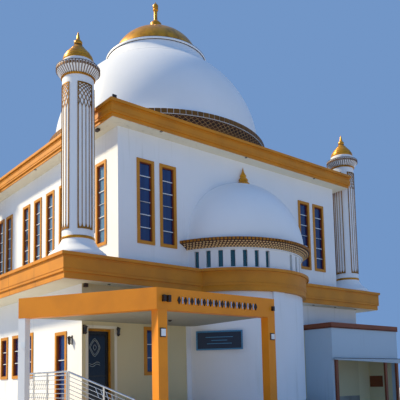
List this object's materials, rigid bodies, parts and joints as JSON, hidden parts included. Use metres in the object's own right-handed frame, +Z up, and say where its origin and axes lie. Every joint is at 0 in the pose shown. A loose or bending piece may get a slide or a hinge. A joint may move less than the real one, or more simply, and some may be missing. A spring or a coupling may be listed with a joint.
{
  "type": "mosque building",
  "caption": "Domed prayer hall over a wider ground storey, with a curved half-domed bay, slender minarets, stepped cornices, a skewed entrance canopy with steps and a low annex.",
  "frame": {"origin": "on the ground under the axis of the main dome", "axes": "+Z up, -Y out of the entrance front, +X to the right as the front is faced from outside"},
  "size_m": [15.32, 14.2719, 18.1524],
  "materials": {
    "white_paint": "matt exterior masonry paint",
    "cream_paint": "matt masonry paint",
    "ochre_paint": "semi-gloss masonry paint",
    "orange_paint": "semi-gloss masonry paint",
    "gold_paint": "gold paint on sheet metal",
    "door_frame_paint": "gold-brown painted frame",
    "door_leaf": "black gloss leaf",
    "lattice_paint": "dark brown ground with a gold lattice",
    "window_glass": "tinted clear glass",
    "teal_glass": "teal tinted glass",
    "concrete": "float-finished concrete",
    "stone_tile": "glazed floor tile",
    "stainless_steel": "polished tube",
    "brown_paint": "brown paint"
  },
  "bodies": {
    "building": {"annex_roof": "brown_paint", "annex_walls": "cream_paint", "bay_drum": "white_paint", "bay_finial": "gold_paint", "bay_glass": "teal_glass", "bay_half_dome": "white_paint", "bay_ring": "lattice_paint", "bay_wall": "white_paint", "canopy_beam_front": "orange_paint", "canopy_beam_left": "orange_paint", "canopy_post_corner": "orange_paint", "canopy_post_left": "white_paint", "canopy_post_right": "orange_paint", "canopy_slab": "cream_paint", "dome_cap": "gold_paint", "dome_collar": "white_paint", "dome_ring": "lattice_paint", "dome_shell": "white_paint", "door_frame": "door_frame_paint", "entrance_steps": "stone_tile", "gallery_floor": "concrete", "ground_glass_front": "window_glass", "ground_glass_sides": "window_glass", "ground_wall_back": "white_paint", "ground_wall_door_side": "cream_paint", "ground_wall_front_left": "cream_paint", "ground_wall_front_right": "cream_paint", "ground_wall_left": "white_paint", "ground_wall_over_door": "cream_paint", "ground_wall_right": "white_paint", "lean_to": "brown_paint", "ledge_cornice_back": "ochre_paint", "ledge_cornice_bay": "ochre_paint", "ledge_cornice_front_left": "ochre_paint", "ledge_cornice_front_right": "ochre_paint", "ledge_cornice_left": "ochre_paint", "ledge_cornice_right": "ochre_paint", "minaret_back_left": "white_paint", "minaret_back_right": "white_paint", "minaret_front_left": "white_paint", "minaret_front_right": "white_paint", "minaret_spire_back_left": "gold_paint", "minaret_spire_back_right": "gold_paint", "minaret_spire_front_left": "gold_paint", "minaret_spire_front_right": "gold_paint", "plinth": "concrete", "porch_platform": "stone_tile", "porch_railing": "stainless_steel", "roof_cornice_back": "ochre_paint", "roof_cornice_front": "ochre_paint", "roof_cornice_left": "ochre_paint", "roof_cornice_right": "ochre_paint", "roof_slab": "concrete", "steps_railing": "stainless_steel", "upper_glass": "window_glass", "upper_wall_back": "white_paint", "upper_wall_front": "white_paint", "upper_wall_left": "white_paint", "upper_wall_right": "white_paint"},
    "door": {"entrance_door": "door_leaf"}
  },
  "joints": [
    {"name": "entrance_door_hinge", "type": "hinge", "parent": "building", "child": "door", "pos_m": [-5.3263, -4.805, 2], "axis": [0, 0, -1], "range_deg": [0, 90]}
  ]
}
